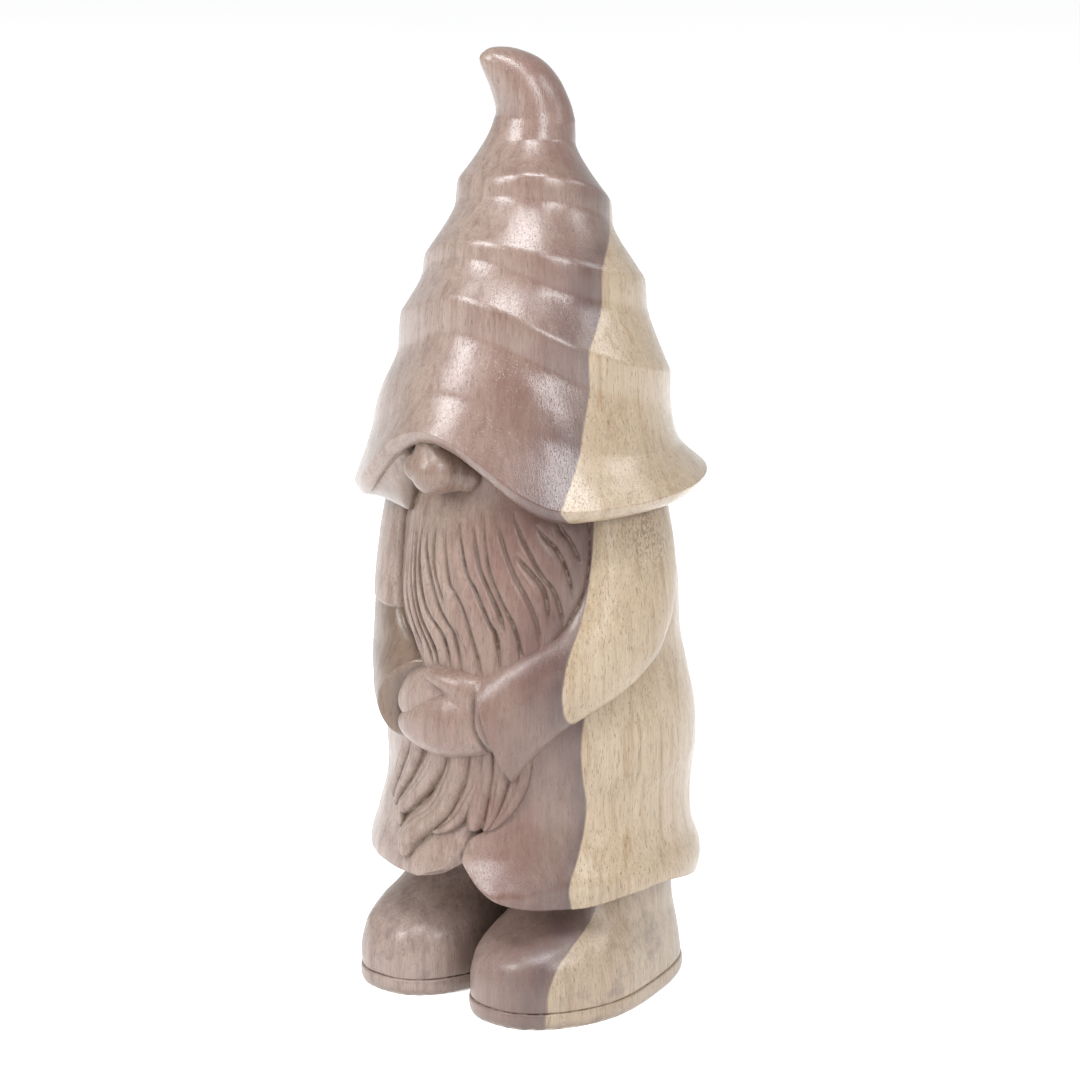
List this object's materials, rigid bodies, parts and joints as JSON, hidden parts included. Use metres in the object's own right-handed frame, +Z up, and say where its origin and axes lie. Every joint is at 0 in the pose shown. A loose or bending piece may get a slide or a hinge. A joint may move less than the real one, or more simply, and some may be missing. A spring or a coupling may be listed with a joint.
{
  "type": "gnome figurine",
  "caption": "hand-carved two-tone wooden gnome with a tall slumped hat, long beard held in clasped hands, long coat and round boots; a free-standing folk ornament",
  "frame": {"origin": "on the ground under the middle of the figure's bounding box", "axes": "+Z up, the figure faces -Y, its left side is +X"},
  "size_m": [0.0944, 0.0906, 0.2508],
  "materials": {
    "brown_heartwood": "waxed",
    "pale_sapwood": "waxed"
  },
  "bodies": {
    "root": {"hat": "brown_heartwood", "nose": "brown_heartwood", "upper_beard": "brown_heartwood", "beard_lock_1": "brown_heartwood", "beard_lock_2": "brown_heartwood", "beard_lock_3": "brown_heartwood", "beard_lock_4": "brown_heartwood", "beard_lock_5": "brown_heartwood", "beard_lock_6": "brown_heartwood", "beard_lock_7": "brown_heartwood", "beard_lock_8": "brown_heartwood", "left_sleeve": "pale_sapwood", "right_sleeve": "brown_heartwood", "left_hand": "brown_heartwood", "right_hand": "brown_heartwood", "coat": "brown_heartwood", "left_boot": "pale_sapwood", "right_boot": "brown_heartwood", "left_sole": "pale_sapwood", "right_sole": "brown_heartwood"}
  },
  "joints": []
}
